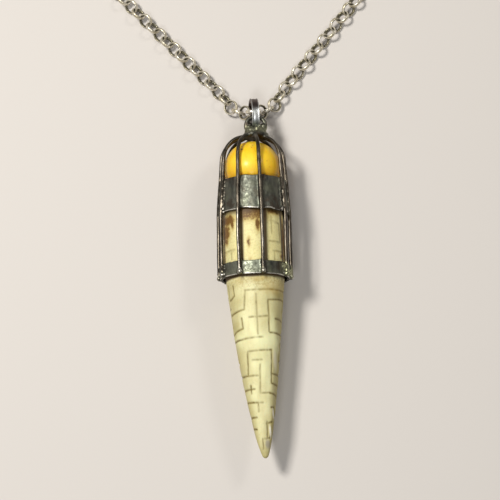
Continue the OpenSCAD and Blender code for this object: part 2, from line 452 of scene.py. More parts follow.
stripRing = linkTree()
for node, name in (("chain_left", "chainLeft"), ("chain_right", "chainRight")):
    piece = growLinks(ringsOf(node), stripRing, name)
    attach(piece, "root")
    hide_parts(node)
print("chain links placed")

# bail and clasp

bail = {"diameter": 7.0, "thickness": 0.88, "width": 1.5, "crown": 0.06, "rimWidth": 0.17, "rimHeight": 0.07,
        "corner": 0.15, "wave": 0.006, "segments": 120, "shineAt": -0.27, "shineReach": 0.24}


def bailOutline():
    # radius and side of a crowned section with a rim along each edge
    half, top = bail["width"] / 2, bail["diameter"] / 2
    inner, outer, rim = top - bail["thickness"], top - bail["rimHeight"], -half + bail["rimWidth"]
    edge = [(inner, -half + bail["corner"]), (inner + bail["corner"], -half), (outer - 0.05, -half),
            (outer + bail["rimHeight"], -half + 0.06), (outer + bail["rimHeight"], rim - 0.04),
            (outer - 0.06, rim + 0.03)]
    middle = [(outer - 0.06 + bail["crown"] * (1 - t * t), t * (half - bail["rimWidth"] - 0.12))
              for t in (-0.8, -0.4, 0, 0.4, 0.8)]
    return edge + middle + [(radius, -side) for radius, side in reversed(edge)]


def bailMarks(out, radius):
    # painted highlight across the strip and on its rims, and painted shade towards the far end and on the
    # inner faces, by its turn and the side of the strip
    lift = radius - bail["diameter"] / 2 + bail["rimHeight"]
    shine = 0.85 * math.exp(-((out.y - bail["shineAt"]) / bail["shineReach"]) ** 2) if lift > -0.1 else 0.0
    rimShine = 0.8 * (1 - ramp(0.5, 0.9, out.y)) if lift > 0.01 else 0.0
    dusk = ramp(-0.05, 0.4, out.y) * 0.88 + (0.6 if lift < -0.2 else 0.0)
    return max(shine, rimShine), dusk


def makeBail():
    middle, axis = ringsOf("bail")[0]
    axis = Vector(axis).normalized()
    first = axis.orthogonal().normalized()
    second = axis.cross(first)
    outline = bailOutline()
    points, marks = [], []
    for column in range(bail["segments"]):
        around = math.tau * column / bail["segments"]
        out = first * math.cos(around) + second * math.sin(around)
        wave = 1 + bail["wave"] * noise.noise(out * 2)
        for radius, side in outline:
            points.append(Vector(middle) + out * radius * wave * mm + axis * side * mm)
            marks.append(bailMarks(out, radius))
    mesh = meshFrom(points, ringFaces(bail["segments"], len(outline)), "bail")
    faceOutward(mesh)
    storeValues(mesh, "wearAndHighlight", [wearAndHighlight for wearAndHighlight, dusk in marks])
    storeValues(mesh, "dusk", np.clip([dusk for wearAndHighlight, dusk in marks], 0, 1))
    piece = finishPiece(mesh, steelFinish, "bailRing")
    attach(piece, "root")
    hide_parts("bail")


makeBail()

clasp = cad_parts["clasp"]
clasp.data.materials.clear()
clasp.data.materials.append(silverWarm)
print("bail and clasp ready")

# cage: two bands, ten wires, crown and loop, soldered into one body

cage = {
    "bandRadius": 7.05, "bandWall": 0.6, "lowBandHeight": 2.8,
    "upperBandFrom": 13.4, "upperBandHeight": 7.0, "upperBandTopRadius": 6.5,
    "wireDiameter": 0.8, "wireSides": 12, "wireRingRadius": 7.3, "footRadius": 0.5,
    "shoulderFrom": 25.0, "shoulderRadius": 5.2, "shoulderEnd": 75.0, "wireEndRadius": 1.4,
    "crownRadius": 2.7, "crownFrom": 29.55, "crownThickness": 1.1, "crownShift": 0.8,
    "neckRadius": 1.8, "loopRadius": 2.0, "loopWire": 0.84, "loopAt": 32.2,
    "dropSize": 0.3, "fillDrops": 90, "sideDrops": 36, "fillTop": 31.9, "solderSeed": 4,
    "voxel": 0.152, "smoothing": (0.5, -0.52, 0.5, -0.52), "seams": (65, 290, 124, 240),
}
# angle of each wire at its foot and at the shoulder
wireAngles = [(-24.5, -27), (13.6, 11.3), (60.5, 60), (93, 92), (129, 130), (162, 163),
              (198, 197), (235, 236), (264, 264), (295, 295)]
bandSlant = math.atan((cage["bandRadius"] - cage["upperBandTopRadius"]) / cage["upperBandHeight"])
upperFrom, upperTo = cage["upperBandFrom"], cage["upperBandFrom"] + cage["upperBandHeight"]
crownTop = cage["crownFrom"] + cage["crownThickness"]


def wireRun():
    # radius and height along a wire, from its foot over the shoulder to the crown
    ring, shoulder = cage["wireRingRadius"], cage["shoulderFrom"]
    run = [(ring, height) for height in np.linspace(cage["footRadius"], upperFrom, 22)]
    shoulderStart = ring - (shoulder - upperFrom) * math.tan(bandSlant)
    for t in np.linspace(0, 1, 19)[1:]:
        run.append((ring + (shoulderStart - ring) * t, upperFrom + (shoulder - upperFrom) * t))
    bend, steep = cage["shoulderRadius"], math.radians(cage["shoulderEnd"])
    for slope in np.linspace(bandSlant, steep, 16)[1:]:
        run.append((shoulderStart - bend * (math.cos(bandSlant) - math.cos(slope)),
                    shoulder + bend * (math.sin(slope) - math.sin(bandSlant))))
    lastRadius, lastHeight = run[-1]
    run.append((cage["wireEndRadius"], lastHeight + (lastRadius - cage["wireEndRadius"]) / math.tan(steep)))
    return run


def wireTree(sizes):
    tree, given = newShapeTree("wireAlongRun", sizes)
    radius = scaled(given["Diameter"], 0.5)
    section = addNode(tree, "GeometryNodeCurvePrimitiveCircle", {
        "Resolution": given["Sides"], "Radius": radius})
    swell = addNode(tree, "GeometryNodeInputRadius")[0]
    tube = addNode(tree, "GeometryNodeCurveToMesh", {
        "Curve": given["Geometry"], "Profile Curve": section[0], "Scale": swell, "Fill Caps": True})
    endShapeTree(tree, tube[0], given["Finish"])
    return tree


def makeWires():
    # each wanders a little, swells and thins
    run = wireRun()
    curve = bpy.data.curves.new("wireRuns", "CURVE")
    curve.dimensions = "3D"
    for number, (footAngle, shoulderAngle) in enumerate(wireAngles):
        spline = curve.splines.new("POLY")
        spline.points.add(len(run) - 1)
        for point, (radius, height) in zip(spline.points, run):
            share = min(1, height / cage["shoulderFrom"])
            drift = noise.noise(Vector((height * 0.16, number * 9.7, 0.5))) * 0.9
            lift = noise.noise(Vector((height * 0.2, number * 5.3, 8.5))) * 0.08
            angle = footAngle + (shoulderAngle - footAngle) * share + drift
            point.co = (*onAxis(radius + lift, angle, height), 1)
            point.radius = 1 + 0.06 * noise.noise(Vector((height * 0.5, number * 3.9, 3.5)))
    sizes = {"Diameter": cage["wireDiameter"] * mm, "Sides": cage["wireSides"]}
    return growPiece(newPiece(curve, "wireRuns"), wireTree(sizes), {**sizes, "Finish": silverDark}, "wires")


def bandMesh(startRadius, endRadius, start, height, lowWave, highWave, name):
    # a closed ring of sheet with slightly ragged edges
    columns, rows, points = 256, 26, []
    for column in range(columns):
        angle = 360 * column / columns
        around = Vector((math.sin(math.radians(angle)), math.cos(math.radians(angle)), 0))
        low = start + lowWave * noise.noise(around * 3 + Vector((0, 0, start)))
        high = start + height + highWave * noise.noise(around * 3.5 + Vector((0, 0, start + 9)))
        shares = [row / (rows - 1) for row in range(rows)]
        for foot, way in ((startRadius, shares), (startRadius - cage["bandWall"], reversed(shares))):
            for t in way:
                points.append(onAxis(foot + (endRadius - startRadius) * t, angle, low + (high - low) * t))
    return meshFrom(points, ringFaces(columns, 2 * rows), name)


def solderTree(sizes):
    tree, given = newShapeTree("solderDrops", sizes)
    drop = addNode(tree, "GeometryNodeMeshIcoSphere", {"Radius": given["Size"], "Subdivisions": 2})
    share = addNode(tree, "GeometryNodeInputNamedAttribute", {"Name": "share"}, data_type="FLOAT")
    placed = addNode(tree, "GeometryNodeInstanceOnPoints", {
        "Points": given["Geometry"], "Instance": drop[0], "Scale": share[0]})
    endShapeTree(tree, placed[0], given["Finish"])
    return tree


def overCrown(place, across=0.0, depth=0.0):
    # the crown and the loop stand a little beside the axis
    return place + Vector(((cage["crownShift"] + across) * mm, 0, depth * mm))


def wireDrops(draw):
    # a ball at each foot and fillets where the wires cross the bands
    drops, ring = [], cage["wireRingRadius"]
    for footAngle, shoulderAngle in wireAngles:
        drops.append((onAxis(ring, footAngle, cage["footRadius"] + 0.05), 1.75 + 0.3 * draw.random()))
        for height in (2.2, upperFrom + 0.3, upperTo - 0.4):
            radius = ring - max(0, height - upperFrom) * math.tan(bandSlant)
            place = onAxis(radius - 0.25, footAngle + draw.normal() * 1.2, height)
            drops.append((place, 1.0 + 0.5 * draw.random()))
    return drops


def seamDrops(draw):
    # seams of drops beside the outer wires, and a lump on the lower band
    drops, ring = [], cage["wireRingRadius"]
    for angle, offset in ((60, -6.2), (295, 4.5), (295, -6.5), (129, 5.0), (235, -5.0)):
        for height in np.arange(upperFrom - 0.1, upperTo + 0.1, 0.36):
            radius = ring - 0.25 - max(0, height - upperFrom) * math.tan(bandSlant)
            place = onAxis(radius, angle + offset + 0.6 * draw.normal(), height)
            drops.append((place, 0.65 + 0.6 * draw.random()))
        for height in (0.6, 1.1, 1.7, 2.3):
            drops.append((onAxis(ring - 0.3, angle + offset, height), 0.8 + 0.7 * draw.random()))
    for angle in (52, 56, 66, 72, 80, 86):
        place = onAxis(ring - 0.2, angle + 2 * draw.normal(), 0.5 + 1.5 * draw.random())
        drops.append((place, 1.2 + 0.5 * draw.random()))
    return drops


def crownDrops(draw):
    # drops round the neck, a filling inside the loop and more along its sides
    drops = []
    for turn in range(0, 360, 20):
        rise, reach = draw.random(), draw.normal() * 0.15
        place = onAxis(1.65 - 0.5 * rise + reach, turn + 8 * draw.normal(), crownTop + 0.1 + rise)
        drops.append((overCrown(place), 1.0 + 1.4 * draw.random()))
    for number in range(cage["fillDrops"]):
        rise = draw.random() ** 1.3
        across = (draw.random() * 2 - 1) * (cage["loopRadius"] - 0.1)
        height = crownTop + rise * (cage["fillTop"] - crownTop + 0.45 * abs(across) / cage["loopRadius"])
        place = overCrown(onAxis(0, 0, height), across, draw.normal() * 0.22)
        drops.append((place, 1.0 + 0.7 * draw.random()))
    for number in range(cage["sideDrops"]):
        side, inward, spread = (1, 0.4, 0.8) if number % 3 == 0 else (-1, 0.75, 1.1)
        across = side * (cage["loopRadius"] - 0.15 - inward * draw.random())
        height = cage["fillTop"] - 0.2 + draw.random() * spread
        place = overCrown(onAxis(0, 0, height), across, draw.normal() * 0.15)
        drops.append((place, 0.9 + 0.5 * draw.random()))
    return drops


def makeSolder():
    draw = np.random.default_rng(cage["solderSeed"])
    drops = wireDrops(draw) + seamDrops(draw) + crownDrops(draw)
    points = meshFrom([place for place, size in drops], [], "solderPlaces")
    storeValues(points, "share", [size for place, size in drops])
    sizes = {"Size": cage["dropSize"] * mm}
    base = newPiece(points, "solderBase")
    return growPiece(base, solderTree(sizes), {**sizes, "Finish": silverDark}, "solder")


def crownMesh():
    # a disc with a rounded rim and the cone of solder under the loop
    crown, neck, low = cage["crownRadius"], cage["neckRadius"], cage["crownFrom"]
    outline = [(0, low), (crown - 0.35, low), (crown, low + 0.35), (crown, crownTop - 0.4),
               (crown - 0.35, crownTop - 0.05), (neck + 0.15, crownTop + 0.05), (neck - 0.1, crownTop + 0.5),
               (neck - 0.55, crownTop + 0.95), (0, crownTop + 1.0)]
    columns, points = 64, []
    for column in range(columns):
        for radius, height in outline:
            wave = 1 + 0.05 * noise.noise(Vector((column / columns * 6, height, 1.5)))
            points.append(overCrown(onAxis(radius * wave, 360 * column / columns, height)))
    return meshFrom(points, ringFaces(columns, len(outline), closed=False), "crown")


def loopMesh():
    columns, sides, points = 72, 20, []
    centre = overCrown(onAxis(0, 0, cage["loopAt"]))
    for column in range(columns):
        around = math.tau * column / columns
        out = Vector((math.cos(around), math.sin(around), 0))
        wire = cage["loopWire"] / 2 * mm * (1 + 0.07 * noise.noise(out * 1.7 + Vector((4, 0, 0))))
        for side in range(sides):
            turn = math.tau * side / sides
            place = centre + out * (cage["loopRadius"] * mm + wire * math.cos(turn))
            points.append(place + Vector((0, 0, wire * math.sin(turn))))
    return meshFrom(points, ringFaces(columns, sides), "loop")


def fuse(grown, closed, name):
    # joins grown pieces and closed meshes and remeshes them into one skin
    form = bmesh.new()
    for mesh in [piece.data for piece in grown] + closed:
        form.from_mesh(mesh)
    bmesh.ops.remove_doubles(form, verts=form.verts, dist=1e-7)
    bmesh.ops.recalc_face_normals(form, faces=form.faces)
    mesh = bpy.data.meshes.new(name)
    form.to_mesh(mesh)
    form.free()
    body = newPiece(mesh, name)
    skin = body.modifiers.new("skin", "REMESH")
    skin.mode = "VOXEL"
    skin.voxel_size = cage["voxel"] * mm
    skin.adaptivity = 0
    for piece in grown:
        bpy.data.objects.remove(piece)
    return evaluatedMesh(body)


def neighbourMean(values, pairs):
    count = len(values)
    total = np.zeros((count, values.shape[1]))
    np.add.at(total, pairs[:, 0], values[pairs[:, 1]])
    np.add.at(total, pairs[:, 1], values[pairs[:, 0]])
    number = np.bincount(pairs.ravel(), minlength=count)[:, None]
    return total / np.maximum(number, 1)


def evenOut(mesh):
    # smooths the voxels' steps; gives points, normals and how far each point bulges
    points, pairs = readPoints(mesh), readRows(mesh.edges, "vertices", 2, np.int32)
    for factor in cage["smoothing"]:
        points += factor * (neighbourMean(points, pairs) - points)
    writePoints(mesh, points)
    normals = readRows(mesh.vertex_normals, "vector", 3).astype(float)
    bulge = ((points - neighbourMean(points, pairs)) * normals).sum(1)[:, None] / mm
    return points, normals, (0.5 * bulge + 0.5 * neighbourMean(bulge, pairs))[:, 0]


def cageZones(points):
    # millimetres from the axis, the foot and the sheet, then shares from 0 to 1
    out = np.hypot(points[:, 0] - axisX, points[:, 2] - axisZ) / mm
    height = (points[:, 1] - footY) / mm
    low = cage["lowBandHeight"]
    inward = np.where(height < upperFrom - 1, 0, (height - upperFrom) * math.tan(bandSlant))
    off = out - (cage["bandRadius"] - inward)
    upper = plateau(upperFrom - 0.3, upperFrom + 0.1, upperTo, upperTo + 0.3, height)
    lower = 1 - ramp(low, low + 0.25, height)
    sheets = np.maximum(upper, lower)
    return SimpleNamespace(
        out=out, height=height, off=off, upper=upper, lower=lower, sheets=sheets,
        panel=(1 - ramp(0.08, 0.3, off)) * sheets, near=sheets * (1 - ramp(0.25, 0.45, off)),
        feet=1 - ramp(0.9, 1.5, height), crown=ramp(cage["crownFrom"] - 0.6, cage["crownFrom"], height))


def roughen(points, normals, zones):
    # unevenness in hundredths of a millimetre, more on the upper band
    coarse, fine = roughness(points, 1.1 * mm, 3), roughness(points, 0.4 * mm, 5, 2)
    move = (0.012 + 0.03 * zones.panel * zones.upper) * coarse + (0.008 + 0.006 * zones.panel) * fine
    points += normals * (move * mm)[:, None]
    points[:, 2] = np.maximum(points[:, 2], 0.02 * mm)  # flat where it rests on the floor


def addSides(points, normals, zones):
    # the zones that depend on the turn round the axis or the way a point faces
    across, above, sheets = points[:, 0] - axisX, points[:, 2] - axisZ, zones.sheets
    turn = np.degrees(np.arctan2(across, above)) % 360
    seam = np.maximum.reduce([1 - ramp(1.5, 5, np.abs(turn - angle)) for angle in cage["seams"]])
    inward = -(normals[:, 0] * across + normals[:, 2] * above) / (zones.out * mm)
    zones.turn, zones.seam = turn, seam * sheets
    zones.below = ramp(0.7, 0.95, -normals[:, 1]) * sheets
    zones.inner = ramp(0.2, 0.6, inward) * (1 - ramp(0.0, 0.3, zones.off + 0.3)) * sheets
    zones.lump = plateau(40, 50, 85, 100, turn) * (1 - ramp(2.2, 3.0, zones.height))


def wireCrest(points, normals, zones):
    # painted highlight and wear along the outer side of each wire, less so towards the cage's flanks
    rise = zones.height - np.minimum(zones.height, cage["shoulderFrom"] - 3)
    reach = np.stack([points[:, 0] - axisX, rise * mm, points[:, 2] - axisZ], -1)
    outward = (normals * reach).sum(1) / np.linalg.norm(reach, axis=1)
    flank = ramp(35, 75, np.abs(fromAngle(zones.turn)))
    return ramp(0.86, 0.985, outward) * (1 - zones.crown) * (1 - zones.near) * (1 - 0.65 * flank)


def cageWearAndHighlight(points, normals, bulge, zones):
    # worn bright with painted highlight: the sheets' edges, the wires' crests, the feet and the seams
    height, near = zones.height, zones.near
    patches = ramp(0.1, 0.7, roughness(points, 2.3 * mm, 7, 2))
    lowEdge = 1 - np.where(height < upperFrom - 1, ramp(0.5, 1.0, height), ramp(0.6, 1.1, height - upperFrom))
    edges = near * ramp(0.003, 0.011, bulge) * (1 - zones.below) * (0.12 + 0.88 * lowEdge)
    overBead = height > upperTo
    # the crests' painted highlight, weaker over the bead
    crestShine = 0.34 + 0.14 * (height < upperFrom) - 0.13 * overBead
    wires = 0.14 * patches * (1 - near) * (1 - 0.6 * overBead) + crestShine * wireCrest(points, normals, zones)
    feet = (0.95 - 0.5 * zones.lump) * zones.feet * ramp(0.15, 0.4, zones.off)
    feet = feet * ramp(0.15, 0.6, patches + 0.4)
    seams = 0.55 * zones.seam * ramp(0.004, 0.012, bulge)
    return np.maximum.reduce([edges, wires * (1 - 0.4 * zones.crown), feet, seams])


def cageMarks(points, normals, bulge, zones):
    # painted shade under and inside the bands and painted shadow beside each wire, panels lit with painted
    # sheen, and solder
    turn, corner = fromAngle(zones.turn), 0
    # painted shadow on the sheet beside each wire, on one side of it only
    for footAngle, shoulderAngle in wireAngles:
        away = fromAngle(zones.turn, (footAngle + shoulderAngle) / 2 + 6)
        corner = np.maximum(corner, 0.6 * zones.panel * (1 - zones.crown) * np.exp(-(away / 3.2) ** 2))
    # painted sheen on the middle panels and on the lower band's left panel
    middle = plateau(-30, -20, 6, 16, turn) * (0.3 * zones.upper + zones.lower)
    left = 0.25 * zones.lower * plateau(-62, -52, -34, -29, turn)
    crown, loop = cage["crownFrom"], cage["loopAt"]
    neck = plateau(crown + 0.6, crown + 1.2, loop - 0.6, loop + 0.4, zones.height)
    low = np.maximum(0.3 * zones.feet, zones.lump) * (1 - 0.7 * zones.panel)
    return {
        "wearAndHighlight": cageWearAndHighlight(points, normals, bulge, zones),
        # painted shade on the bands' undersides and inner faces, and painted shadow beside the wires
        "paintedShade": np.clip(np.maximum(0.9 * np.maximum(zones.below, zones.inner), corner), 0, 1),
        "panel": np.maximum(zones.panel, 0.85 * zones.crown), "light": (middle + left) * (1 - zones.crown),
        "solder": np.clip(zones.seam + 0.45 * neck + low, 0, 1),
    }


def makeCage():
    low, top, height = cage["bandRadius"], cage["upperBandTopRadius"], cage["upperBandHeight"]
    bands = [bandMesh(low, low, 0, cage["lowBandHeight"], 0.12, 0.2, "lowBand"),
             bandMesh(low, top, upperFrom, height, 0.35, 0.2, "upperBand")]
    mesh = fuse([makeWires(), makeSolder()], bands + [crownMesh(), loopMesh()], "cageBody")
    points, normals, bulge = evenOut(mesh)
    zones = cageZones(points)
    roughen(points, normals, zones)
    writePoints(mesh, points)
    addSides(points, normals, zones)
    for name, values in cageMarks(points, normals, bulge, zones).items():
        storeValues(mesh, name, values)
    piece = finishPiece(mesh, silverDark, "wireCage")
    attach(piece, "root")
    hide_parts("cage")
    print("cage fused:", len(points), "points")


makeCage()

# bead, with a pit, a painted glow on one side and painted shade away from it

bead = {"radius": 5.8, "middle": (beadLow + beadHigh) / 2, "columns": 160, "rows": 96, "sunk": 0.03,
        "dent": 0.05, "speckAt": (-0.35, 0.55, 0.75), "speckSize": 0.45, "glowAt": (-0.1, 0.38, 0.92),
        "deepening": 0.64, "underside": 0.3, "deepest": 0.85}


def makeBead():
    form = bmesh.new()
    size = bead["radius"] * mm
    bmesh.ops.create_uvsphere(form, u_segments=bead["columns"], v_segments=bead["rows"], radius=size)
    mesh = bpy.data.meshes.new("bead")
    form.to_mesh(mesh)
    form.free()
    around = readPoints(mesh) / size
    radius = bead["radius"] - bead["sunk"] + bead["dent"] * roughness(around, 1.1, 2, 2)
    writePoints(mesh, around * radius[:, None] * mm + np.array(bead["middle"]))
    speckWay = np.array(bead["speckAt"]) / np.linalg.norm(bead["speckAt"])
    away = np.linalg.norm(around - speckWay, axis=1) * bead["radius"] / bead["speckSize"]
    storeValues(mesh, "speck", 1 - ramp(0.3, 1.0, away + 0.5 * roughness(around, 0.06, 6, 2)))
    # painted shade: darker away from the painted glow and on the underside
    fromGlow = np.linalg.norm(around - np.array(bead["glowAt"]), axis=1)
    deep = bead["deepening"] * fromGlow + bead["underside"] * np.maximum(0, -around[:, 1])
    storeValues(mesh, "deep", np.clip(deep, 0, bead["deepest"]))
    piece = finishPiece(mesh, amberFinish, "amberBead")
    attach(piece, "root")
    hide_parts("bead")


makeBead()
print("bead ready")

# bone spike, with its engraved lines charted across and down from the cage's foot

bone = {
    "radius": 5.95, "topRadius": 5.75, "top": 15.2, "fullness": 0.63, "bluntness": 0.5, "tipRound": 0.45,
    "rootSwell": 0.35, "rimRound": 0.6, "rimDepth": 0.4, "lean": 2.0, "rootLean": 0.55, "pivot": 1.4,
    "bow": -0.22, "waviness": 0.13, "rootWaviness": 0.06, "facets": 3.5, "facetDepth": 0.025,
    "grooveWidth": 0.2, "grooveDepth": 0.13, "columns": 288, "spikeRows": 277, "rootRows": 48,
    "tipRows": 13, "tipShare": 0.02,
}
engraved = [
    (-2.2, 3.0, 5.4, 3.0), (0.0, 3.9, 0.1, 11.8), (-1.6, 8.4, 2.3, 8.3), (2.4, 5.1, 4.8, 4.8),
    (2.4, 5.2, 2.4, 11.3), (2.5, 11.5, 4.7, 11.8), (3.7, 8.8, 4.7, 8.8), (-4.7, 7.2, -2.6, 6.7),
    (-2.6, 6.7, -2.2, 3.0), (-4.7, 12.8, 1.0, 12.4), (-4.6, 1.7, -4.4, 3.7), (-4.4, 3.7, -4.9, 4.2),
    (-3.1, 8.4, -2.9, 10.5), (-2.9, 10.5, -4.7, 11.3), (-2.2, 15.2, 2.7, 14.9), (-2.2, 15.2, -2.3, 19.7),
    (2.7, 14.9, 2.3, 21.4), (-1.3, 16.9, 0.6, 16.9), (-3.6, 19.9, -0.4, 20.0), (0.2, 17.8, -0.1, 23.4),
    (-0.1, 23.4, 1.6, 23.4), (1.6, 23.4, 3.0, 23.8), (2.3, 21.5, 3.5, 21.9), (2.4, 19.6, 3.2, 19.7),
    (-3.4, 22.7, -1.2, 22.6), (-1.9, 21.9, -1.9, 23.4), (-2.8, 25.1, 0.3, 25.3), (-0.7, 25.4, -0.7, 27.0),
    (-2.2, 28.1, -1.2, 28.1), (-2.1, 30.3, -1.4, 30.4), (1.8, 26.3, 2.4, 26.2), (2.4, 26.2, 2.3, 28.5),
    (0.8, 29.4, 1.7, 29.2), (0.9, 29.1, 0.7, 32.2), (-0.2, 32.4, 1.2, 32.2), (-0.2, 32.4, -0.3, 34.3),
    (3.7, -11.9, 3.7, -8.5), (3.8, -11.0, 5.2, -10.6), (5.2, -10.6, 5.3, -6.7), (3.1, -6.8, 5.3, -6.7),
    (3.8, -4.8, 5.6, -4.8), (4.1, -4.8, 4.1, -2.9), (-5.9, -5.4, -3.9, -5.4), (-4.6, -5.0, -4.6, -3.6),
]
# lines over the flanks, in degrees from the uppermost side and millimetres down
flankLines = [
    (73, 3.0, 92, 3.1), (92, 3.1, 92, 6.0), (92, 6.0, 105, 6.0), (106, 1.2, 106, 4.4), (106, 4.4, 117, 4.2),
    (62, 4.8, 80, 4.9), (80, 4.9, 80, 7.2), (115, 7.2, 98, 7.4), (98, 7.4, 98, 9.7), (70, 8.8, 86, 9.0),
    (85, 11.7, 96, 11.3), (93, 12.8, 80, 13.6), (80, 13.6, 80, 17.0), (80, 17.0, 100, 17.2),
    (100, 17.2, 100, 15.0), (61, 19.7, 98, 19.9), (85, 21.9, 94, 22.7), (78, 23.8, 90, 24.4),
    (90, 24.4, 103, 25.1), (88, 27.0, 88, 29.5), (88, 28.2, 108, 28.1),
]
# brown stains in the cage's windows: across, down, reach across, reach down, strength
stains = [
    (-5.5, -9.3, 0.8, 1.8, 1.1), (-5.0, -11.7, 1.5, 1.1, 1.0), (-4.2, -10.8, 0.4, 1.4, 0.9),
    (-5.5, -7.5, 0.5, 0.9, 0.8), (-5.6, -9.6, 1.2, 2.6, 0.4), (-0.9, -12.6, 2.4, 1.7, 0.62),
    (0.9, -10.3, 0.6, 1.6, 0.95), (-1.0, -6.7, 0.34, 1.1, 0.8), (4.2, -12.9, 2.0, 0.8, 0.75),
    (5.6, -4.0, 0.4, 0.5, 0.8), (-6.0, -4.5, 0.4, 3.0, 0.4), (5.95, -7.5, 0.4, 5.5, 0.85),
    (-0.9, -3.0, 0.3, 0.5, 0.35), (3.4, 2.6, 2.4, 1.5, 0.3), (-3.0, 1.0, 1.5, 0.9, 0.22),
    (0.8, 0.9, 3.5, 0.6, 0.28),
]
# chipped places, a dull one and one in shade, given the same way
chips = [(3.2, 16.9, 0.35, 2.1, 0.45), (1.3, 30.9, 0.2, 1.2, 1.0), (2.16, 27.4, 0.2, 0.95, 0.8)]
dullPatch = (0.62, 33.4, 0.48, 0.95, 0.85)
shadyCorner = (-6.1, -12.3, 0.75, 1.5, 0.95)
# soft tints between the engraved lines, given the same way
olives = [
    (2.0, 5.2, 1.5, 2.2, 0.34), (4.3, 3.9, 1.0, 0.8, 0.5), (-3.4, 5.2, 1.3, 1.8, 0.2),
    (0.3, 1.2, 4.5, 1.0, 0.22), (2.6, 9.6, 1.6, 1.4, 0.18), (-4.2, 9.9, 1.0, 1.2, 0.25),
    (-1.6, 18.6, 0.9, 1.6, 0.12), (1.4, 25.0, 1.0, 1.6, 0.15), (1.8, 30.5, 1.2, 2.6, 0.5),
]
pales = [
    (0.9, 13.0, 2.4, 2.2, 0.6), (3.0, 9.6, 0.7, 2.2, 0.5), (0.9, 18.6, 1.3, 2.8, 0.45),
    (-1.0, 17.6, 0.9, 1.3, 0.4), (-3.6, 12.6, 1.0, 1.4, 0.45), (-1.6, 23.6, 0.9, 1.6, 0.35),
    (3.4, 13.6, 0.7, 2.2, 0.4), (-0.9, 10.4, 1.0, 1.2, 0.25),
]


def lineDistance(across, down, line):
    x, y = line[:2]
    wide, tall = line[2] - x, line[3] - y
    t = np.clip(((across - x) * wide + (down - y) * tall) / (wide ** 2 + tall ** 2), 0, 1)
    return np.hypot(across - x - t * wide, down - y - t * tall)


def spotOn(across, down, place, sharpness=1):
    # a soft oval mark of a chart, the sharper the flatter in its middle
    x, y, wide, tall, strength = place
    spread = ((across - x) / wide) ** 2 + ((down - y) / tall) ** 2
    return strength * np.exp(-spread ** sharpness)


def turnTo(across, down):
    # the turn in radians at which the bone's skin lies that far across
    return np.arcsin(np.clip(across / boneRadius(down), -0.999, 0.999))


def surfaceLines():
    # both charts laid along the bone's girth, so that a line keeps its width round the sides
    def seen(x, y):
        return float(turnTo(x, y) * boneRadius(y)), y

    def turned(degrees, y):
        return float(np.radians(degrees) * boneRadius(y)), y

    lines = [seen(x0, y0) + seen(x1, y1) for x0, y0, x1, y1 in engraved]
    return lines + [turned(a0, y0) + turned(a1, y1) for a0, y0, a1, y1 in flankLines]


def boneRadius(down):
    spike = bone["radius"] * np.maximum(0, 1 - down / (spikeLength + bone["bluntness"])) ** bone["fullness"]
    last = np.clip(1 - (spikeLength - down) / bone["tipRound"], 0, 1)
    spike = spike * np.sqrt(1 - last ** 2)
    root = bone["radius"] + (bone["topRadius"] - bone["radius"]) * -down / bone["top"]
    root = root + bone["rootSwell"] * plateau(0, 2.4, 13.4, 15.0, -down)
    return np.where(down > 0, spike, root)


def boneGrid():
    # down and turn of each point, in rows that crowd together at the tip
    tip = 1 - (np.arange(bone["tipRows"] - 1, 1, -1) / bone["tipRows"]) ** 2 * bone["tipShare"]
    down = np.concatenate([np.linspace(-bone["top"], 0, bone["rootRows"])[:-1],
                           np.linspace(0, spikeLength * (1 - bone["tipShare"]), bone["spikeRows"]),
                           spikeLength * tip])
    turn = np.arange(bone["columns"]) * math.tau / bone["columns"]
    return np.meshgrid(np.round(down, 5), turn, indexing="ij")


def boneWaves(down, turn):
    # broad and small waves
    around = np.stack([np.sin(turn) * 1.4, np.cos(turn) * 1.4, down / 7], -1).reshape(-1, 3)
    return [roughness(around, scale, seed, 2).reshape(down.shape) for scale, seed in ((1.0, 8), (0.18, 11))]


def plainRadius(down, turn, soft, inCage):
    # before it is engraved, with waves, faint facets and a rounded rim
    facet = np.abs(np.sin(turn * bone["facets"] + down * 0.02))
    spike = (bone["waviness"] * soft - bone["facetDepth"] * facet) * ramp(0, 6, spikeLength - down)
    rim = ramp(-bone["top"] + bone["rimRound"], -bone["top"], down)
    radius = boneRadius(down) + (1 - inCage) * spike - inCage * bone["rootWaviness"] * np.abs(soft)
    return radius - bone["rimDepth"] * rim ** 2


def boneGrooves(down, turn, soft, wobble, inCage):
    # deeper towards the flanks and the tip, shallower in the cage
    deep = np.clip(0.6 + 0.42 * wobble + 0.72 * np.abs(np.sin(turn)) ** 1.5, 0.4, 1.2)
    deep = deep * (1 + 0.12 * ramp(20, 32, down)) * (1 - 0.35 * inCage)
    groove, lines = np.zeros(down.shape), surfaceLines()
    for start in (math.pi, 0):
        girth = ((turn + start) % math.tau - math.pi) * boneRadius(down) + 0.06 * wobble
        for line in lines:
            near = lineDistance(girth, down + 0.06 * soft, line) / bone["grooveWidth"]
            groove = np.maximum(groove, np.exp(-near ** 2) * deep)
    return groove


def boneStains(down, across, front, wobble):
    # the chart of stains, on the back turned half round
    stain = np.zeros(down.shape)
    for side in (1, -1):
        reach = ramp(0.0, 0.15, side * front)
        for place in stains:
            spot = spotOn(across * side + 0.2 * wobble, down - 0.35 * wobble, place)
            stain = np.maximum(stain, reach * spot)
    return stain


def besideWires(down, turn, inCage, sideways):
    # a strip of painted shadow, with some grime, where each wire is seen from above
    strips = np.zeros(down.shape)
    for footAngle, shoulderAngle in wireAngles:
        angle = footAngle + (shoulderAngle - footAngle) * 0.3
        centre = angle + 5
        if -80 < fromAngle(angle) < 45:
            middle = cage["wireRingRadius"] * math.sin(math.radians(angle))
            centre = np.degrees(turnTo(middle + cage["wireDiameter"] / 2 - sideways, down)) + 2
        away = fromAngle(np.degrees(turn), centre)
        strips = np.maximum(strips, 0.96 * inCage * np.exp(-(away / 4.0) ** 4))
    return strips


